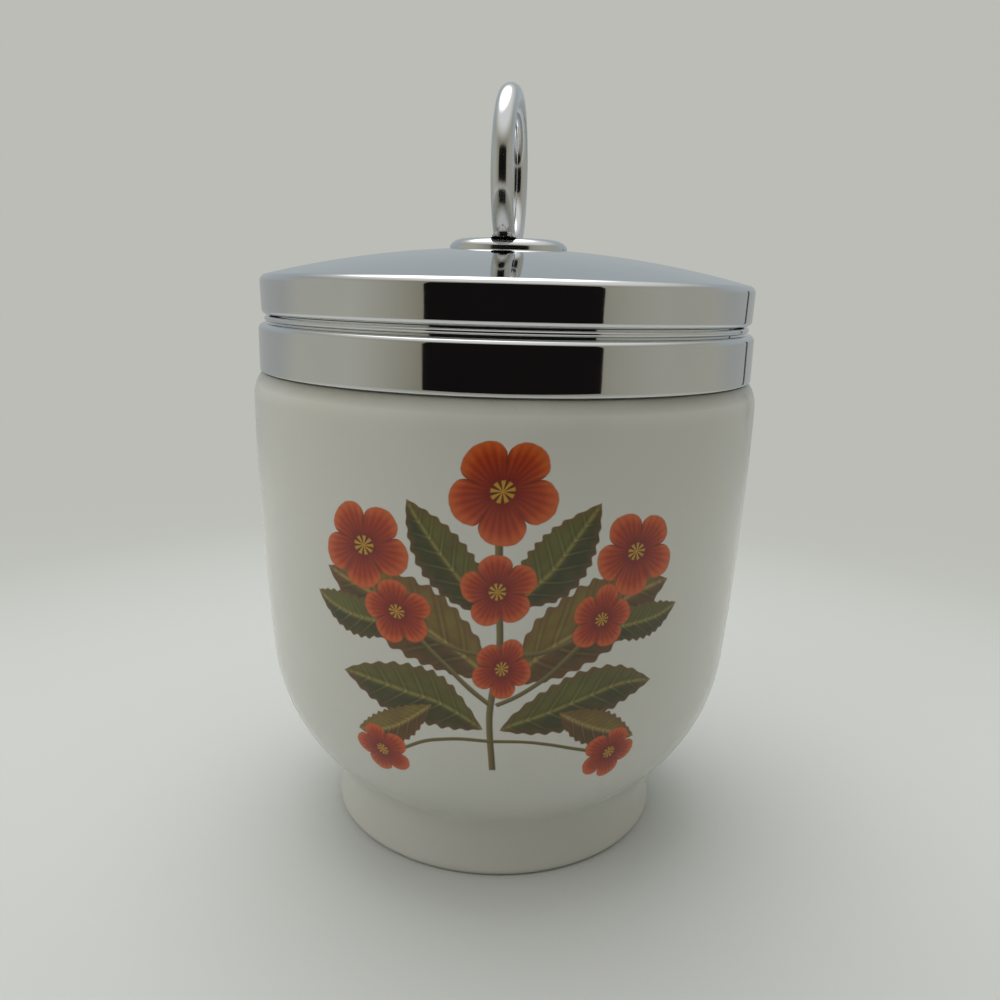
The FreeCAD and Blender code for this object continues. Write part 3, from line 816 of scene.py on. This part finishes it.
ring_centre = flange_top + RING_HEIGHT
bpy.ops.object.select_all(action="DESELECT")
bpy.ops.mesh.primitive_torus_add(
    major_radius=RING_RADIUS * MM, minor_radius=WIRE_RADIUS * MM,
    major_segments=144, minor_segments=40,
    location=(0, 0, ring_centre * MM), rotation=(0, math.pi / 2, math.radians(-RING_TURN)))
ring = bpy.context.object
bpy.ops.object.transform_apply(location=True, rotation=True, scale=True)
bpy.ops.object.mode_set(mode="EDIT")
bpy.ops.mesh.select_mode(type="EDGE")
bpy.ops.mesh.select_all(action="SELECT")
bpy.ops.mesh.bisect(plane_co=(0, 0, (flange_top + FOOT_RISE) * MM), plane_no=(0, 0, 1),
                    clear_inner=True, use_fill=False)
bpy.ops.mesh.select_all(action="DESELECT")
bpy.ops.mesh.select_non_manifold()
for step in range(FOOT_RINGS):
    bpy.ops.mesh.extrude_region_move(
        TRANSFORM_OT_translate={"value": (0, 0, -FOOT_RISE / FOOT_RINGS * MM)})
    spread = 1 + (FOOT_SPREAD - 1) * (step + 1) / FOOT_RINGS
    bpy.ops.transform.resize(value=(spread, spread, 1), center_override=(0, 0, flange_top * MM))
bpy.ops.mesh.edge_face_add()
bpy.ops.mesh.select_all(action="SELECT")
bpy.ops.mesh.normals_make_consistent(inside=False)
bpy.ops.object.mode_set(mode="OBJECT")
print("loop:", len(ring.data.polygons), "faces")

# %% [markdown]
# The shank below the loop is a plain bar with a bevelled end, which goes through flange, lid,
# washer and nut. It reaches a little into the foot of the loop, so the two read as one.

# %% Shank of the lifting ring
SHANK_RADIUS, SHANK_BOTTOM, SHANK_OVERLAP, SHANK_BEVEL = 1.5, 80.16, 0.1, 0.25

bpy.ops.object.select_all(action="DESELECT")
shank_length = flange_top + SHANK_OVERLAP - SHANK_BOTTOM
bpy.ops.mesh.primitive_cylinder_add(
    vertices=64, radius=SHANK_RADIUS * MM, depth=shank_length * MM,
    location=(0, 0, (SHANK_BOTTOM + shank_length / 2) * MM))
shank = bpy.context.object
bpy.ops.object.transform_apply(location=True, rotation=True, scale=True)
soften = shank.modifiers.new("soften", "BEVEL")
soften.width = SHANK_BEVEL * MM
soften.segments = 3
soften.limit_method = "ANGLE"
bpy.ops.object.modifier_apply(modifier="soften")
join_to(ring, shank)
finish_shape("lifting_ring_plated", "lifting_ring", "lid", ring_plate)

# %% [markdown]
# The cement, the washer and the nut keep their solids, because their shapes are right as
# they are. They only need their finishes.

# %% Finishes of the solids that stay
for node, finish in (("collar_cement", cement_finish), ("inner_washer", turned_finish),
                     ("ring_nut", turned_finish)):
    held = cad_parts[node].data.materials
    held.clear()
    held.append(finish)
    print(node, "is finished in", finish.name)

# %% [markdown]
# The photograph has a pale sweep with no horizon. Here a wide floor takes the shadow, and
# away from the cup it fades into the same colour as the sky, for the camera and for mirrors.
# The sky is a plain tent: warm grey walls, a little lighter on the left, a cooler back, and
# a bright ceiling that fades out downwards, brightest above and behind the cup. It lights
# the floor more than the upright wall of the cup, which is why white porcelain stands darker
# than its backdrop, and it drops the soft shadow towards the camera.

# %% Colours of the backdrop and the walls
BACKDROP, BACKDROP_GLOW = colour(187, 189, 182), colour(203, 206, 200)
GLOW_LEVEL, GLOW_SPREAD = 0.43, 4.6
WALL_FRONT, WALL_SIDE = colour(142, 137, 120), colour(180, 180, 170)
WALL_RIGHT = colour(162, 160, 147)
WALL_BACK, WALL_BACK_HIGH = colour(165, 168, 166), colour(172, 179, 183)


def backdrop_colour(paint, height):
    """The pale background: even above, and lightest a little below the level of the eye."""
    glow = 1.0 - (abs(height + GLOW_LEVEL) * GLOW_SPREAD).clamped()
    return paint.mixed(glow.eased(), BACKDROP, BACKDROP_GLOW)


def wall_colour(paint, right, away, height):
    """The walls of the tent, by how far a direction leans to the right, away and up."""
    side = ((abs(right) - 0.56) * 2.6).clamped()
    front = paint.mixed(side, WALL_FRONT, WALL_SIDE)
    dim = paint.mixed((right * 0.45).clamped(), front, WALL_RIGHT)
    back = paint.mixed((height * 5.0).clamped(), WALL_BACK, WALL_BACK_HIGH)
    return paint.mixed((away * 3.2 - 0.7).clamped(), dim, back)


# %% [markdown]
# Near the cup the floor is plain matt card, which takes the shadow. From 60 to 170 mm out it
# turns into the backdrop for the camera, and further out it shows the walls to mirrors, so
# the plated bands find no horizon line.

# %% Floor
FLOOR_TONE = colour(209, 211, 209)
FADE_START, FADE_WIDTH = 60.0, 110.0
MIRROR_START, MIRROR_WIDTH = 150.0, 200.0
FLOOR_SIZE = 3.0


def pale_floor():
    material, paint = new_material("pale_floor")
    across, along, up = paint.place()
    from_axis = (across * across + along * along) ** 0.5
    far = ((from_axis - FADE_START) / FADE_WIDTH).clamped()
    lay = paint.node("BsdfDiffuse", {}, {"Color": FLOOR_TONE})
    eye = paint.node("NewGeometry", {}, {}, "Incoming")
    height = -paint.node("SeparateXYZ", {}, [eye], 2)
    glow = paint.node("Emission", {}, {"Color": backdrop_colour(paint, height), "Strength": 1.0})
    horizon = height * 0.0
    wall = wall_colour(paint, across / (from_axis + 1.0), along / (from_axis + 1.0), horizon)
    sheen = paint.node("Emission", {}, {"Color": wall, "Strength": 1.0})
    camera_ray = paint.node("LightPath", {}, {}, "Is Camera Ray")
    mirror_ray = paint.node("LightPath", {}, {}, "Is Glossy Ray")
    distant = ((from_axis - MIRROR_START) / MIRROR_WIDTH).clamped()
    mirrored = paint.node("MixShader", {}, [mirror_ray * distant, lay, sheen])
    surface = paint.node("MixShader", {}, [far * camera_ray, mirrored, glow])
    paint.node("OutputMaterial", {}, [surface])
    return material


bpy.ops.object.select_all(action="DESELECT")
bpy.ops.mesh.primitive_circle_add(
    vertices=96, radius=FLOOR_SIZE, fill_type="NGON", location=(0, 0, 0))
floor = bpy.context.object
floor.name = "floor"
floor.data.materials.append(pale_floor())
print("floor", FLOOR_SIZE, "m in radius")

# %% [markdown]
# The tent itself is the world. The camera sees the backdrop there, and light and mirrors see
# the walls, the ceiling that brightens with height, and its core around one direction.

# %% Tent
CEILING, CEILING_CORE, CEILING_WARMTH = 0.85, 2.7, 0.975
CEILING_START, CEILING_WIDTH = 0.48, 0.38
CORE_START, CORE_WIDTH = 0.84, 0.12
LIGHT_FROM = (-0.12, 0.30, 0.94)


def warm_white(level):
    """White light of a level, a touch warmer than grey."""
    return (level, level, level * CEILING_WARMTH, 1.0)


def tent():
    world = bpy.data.worlds.new("tent")
    bpy.context.scene.world = world
    paint = Paint(world)
    look = paint.node("TexCoord", {}, {}, "Generated")
    right, away, height = [paint.node("SeparateXYZ", {}, [look], axis) for axis in range(3)]
    walls = wall_colour(paint, right, away, height)
    rise = ((height - CEILING_START) / CEILING_WIDTH).clamped().eased()
    lit = paint.mixed(rise, walls, warm_white(CEILING))
    facing = right * LIGHT_FROM[0] + away * LIGHT_FROM[1] + height * LIGHT_FROM[2]
    core = ((facing - CORE_START) / CORE_WIDTH).clamped().eased()
    lit = paint.mixed(core, lit, warm_white(CEILING_CORE))
    seen = paint.node("LightPath", {}, {}, "Is Camera Ray")
    tone = paint.mixed(seen, lit, backdrop_colour(paint, height))
    sky = paint.node("Background", {}, {"Color": tone, "Strength": 1.0})
    paint.node("OutputWorld", {}, [sky])


tent()
print("tent, brightest towards", LIGHT_FROM)

# %% [markdown]
# Two plain cards stay out of the camera's sight. A dark one in front, where the tent is
# open, gives the plated bands the dark middle that polished metal needs, and keeps low light
# off the foot. A narrow strip on the right is the edge of the backdrop, which draws a fine
# line near the end of each band.

# %% Cards
def card(name, left, right, top, distance, turn, tone, shades):
    """An upright card at a distance from the axis. The camera doesn't see it."""
    bpy.ops.object.select_all(action="DESELECT")
    bpy.ops.mesh.primitive_plane_add(size=1.0, rotation=(math.pi / 2, 0, 0))
    made = bpy.context.object
    made.name = name
    made.scale = (right - left, top, 1)
    aim = Matrix.Rotation(math.radians(turn), 4, "Z")
    made.location = aim @ Vector(((left + right) / 2, -distance, top / 2))
    made.rotation_euler = (math.pi / 2, 0, math.radians(turn))
    material, paint = new_material(name)
    paint.node("OutputMaterial", {}, [paint.node("Emission", {}, {"Color": tone, "Strength": 1.0})])
    made.data.materials.append(material)
    made.visible_camera = False
    made.visible_shadow = shades
    made.visible_diffuse = shades
    print(name, "stands at", [round(value, 2) for value in made.location])


card("dark_card", left=-0.20, right=0.25, top=0.26, distance=0.30, turn=0.0,
     tone=colour(22, 19, 19), shades=True)
card("edge_strip", left=-0.012, right=0.012, top=0.14, distance=0.50, turn=135.0,
     tone=colour(70, 72, 72), shades=False)

# %% [markdown]
# One soft lamp above and to the left models the round of the cup. The tent does the rest.
# The lamp is left out of reflections, where its square shape would show.

# %% Lamp
def soft_lamp(name, place, target, size, power):
    """A rectangular lamp that points from its place to its target."""
    data = bpy.data.lights.new(name, "AREA")
    data.shape = "RECTANGLE"
    data.size, data.size_y = size
    data.energy = power
    lamp = bpy.data.objects.new(name, data)
    bpy.context.scene.collection.objects.link(lamp)
    lamp.location = place
    aim = Vector(target) - Vector(place)
    lamp.rotation_euler = aim.to_track_quat("-Z", "Y").to_euler()
    lamp.visible_glossy = False
    print(name, power, "W")


soft_lamp("left_lamp", place=(-0.45, -0.25, 0.40), target=(0, 0, 0.06), size=(0.40, 0.40),
          power=0.48)
